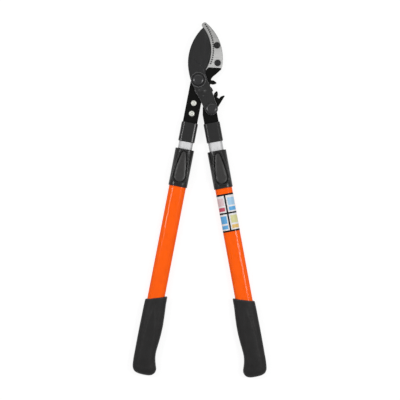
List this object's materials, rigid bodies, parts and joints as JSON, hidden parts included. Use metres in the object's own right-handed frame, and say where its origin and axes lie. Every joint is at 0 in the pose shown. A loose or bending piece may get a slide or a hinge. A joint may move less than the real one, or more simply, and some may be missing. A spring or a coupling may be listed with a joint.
{
  "type": "telescopic lopper",
  "caption": "Bypass lopper with a toothed compound head and telescopic handles locked by spring buttons, for cutting branches",
  "frame": {"origin": "centre of the bounding box in X and Y, on the plane the lopper lies on", "axes": "+Y from the grips to the jaws, +Z out of the front face with the pivot bolt heads, +X to the right seen from the front; jaws closed and both handles pushed in"},
  "size_m": [0.2527, 0.6768, 0.0322],
  "materials": {
    "forged_black": "satin black coating",
    "blade_coating": "dark grey non-stick coating",
    "ground_steel": "fine ground",
    "black_oxide": "black oxide",
    "pivot_steel": "dark satin",
    "zinc_plate": "bright zinc plate",
    "bronze": "plain",
    "aluminium": "satin anodised",
    "orange_paint": "gloss orange powder coat",
    "collar_plastic": "satin",
    "sleeve_plastic": "satin",
    "button_plastic": "satin",
    "glide_nylon": "plain",
    "grip_rubber": "fine matt texture"
  },
  "bodies": {
    "hook_arm": {"hook_body": "forged_black", "counter_blade": "ground_steel", "counter_screw_upper": "black_oxide", "counter_screw_lower": "black_oxide", "left_shank": "forged_black", "shank_bolt_upper": "zinc_plate", "shank_bolt_lower": "zinc_plate", "shank_nut_upper": "zinc_plate", "shank_nut_lower": "zinc_plate", "main_pivot_bushing": "bronze", "left_collar": "collar_plastic", "left_shank_pin": "zinc_plate", "left_inner_tube": "aluminium", "left_slide_plug": "glide_nylon"},
    "blade": {"blade": "blade_coating", "main_pivot_bolt": "pivot_steel", "main_pivot_washer": "zinc_plate", "main_pivot_nut": "zinc_plate", "arm_pivot_bolt": "pivot_steel", "arm_pivot_washer": "zinc_plate", "arm_pivot_nut": "zinc_plate"},
    "gear_arm": {"gear_arm": "forged_black", "arm_pivot_bushing": "bronze", "right_collar": "collar_plastic", "right_shank_pin": "zinc_plate", "right_inner_tube": "aluminium", "right_slide_plug": "glide_nylon"},
    "left_handle": {"left_outer_tube": "orange_paint", "left_guide_bushing": "glide_nylon", "left_lock_sleeve": "sleeve_plastic", "left_sleeve_rivet_upper": "zinc_plate", "left_sleeve_rivet_lower": "zinc_plate", "left_button_pin": "black_oxide", "left_lock_spring": "zinc_plate", "left_grip": "grip_rubber"},
    "right_handle": {"right_outer_tube": "orange_paint", "right_guide_bushing": "glide_nylon", "right_lock_sleeve": "sleeve_plastic", "right_sleeve_rivet_upper": "zinc_plate", "right_sleeve_rivet_lower": "zinc_plate", "right_button_pin": "black_oxide", "right_lock_spring": "zinc_plate", "right_grip": "grip_rubber"},
    "left_button": {"left_lock_button": "button_plastic", "left_lock_pin": "zinc_plate"},
    "right_button": {"right_lock_button": "button_plastic", "right_lock_pin": "zinc_plate"}
  },
  "joints": [
    {"name": "blade_pivot", "type": "hinge", "parent": "hook_arm", "child": "blade", "pos_m": [-0.0025, 0.2291, 0.015], "axis": [0, 0, 1], "range_deg": [0, 45]},
    {"name": "arm_pivot", "type": "hinge", "parent": "blade", "child": "gear_arm", "pos_m": [0.02257, 0.17409, 0.015], "axis": [0, 0, 1], "range_deg": [0, 45]},
    {"name": "left_telescope", "type": "slide", "parent": "hook_arm", "child": "left_handle", "axis": [-0.1908, -0.9816, 0], "range_m": [0, 0.27]},
    {"name": "right_telescope", "type": "slide", "parent": "gear_arm", "child": "right_handle", "axis": [0.1805, -0.9836, 0], "range_m": [0, 0.27]},
    {"name": "left_button_press", "type": "hinge", "parent": "left_handle", "child": "left_button", "pos_m": [-0.03475, 0.0632, 0.0281], "axis": [0.9816, -0.1908, 0], "range_deg": [0, 7], "stiffness_Nm_per_rad": 0.2, "springref_deg": -20.05, "deforming": ["left_lock_spring"]},
    {"name": "right_button_press", "type": "hinge", "parent": "right_handle", "child": "right_button", "pos_m": [0.03868, 0.05972, 0.0281], "axis": [0.9836, 0.1805, 0], "range_deg": [0, 7], "stiffness_Nm_per_rad": 0.2, "springref_deg": -20.05, "deforming": ["right_lock_spring"]}
  ],
  "couplings": [
    {"joint": "arm_pivot", "follows": "blade_pivot", "ratio": 1}
  ]
}
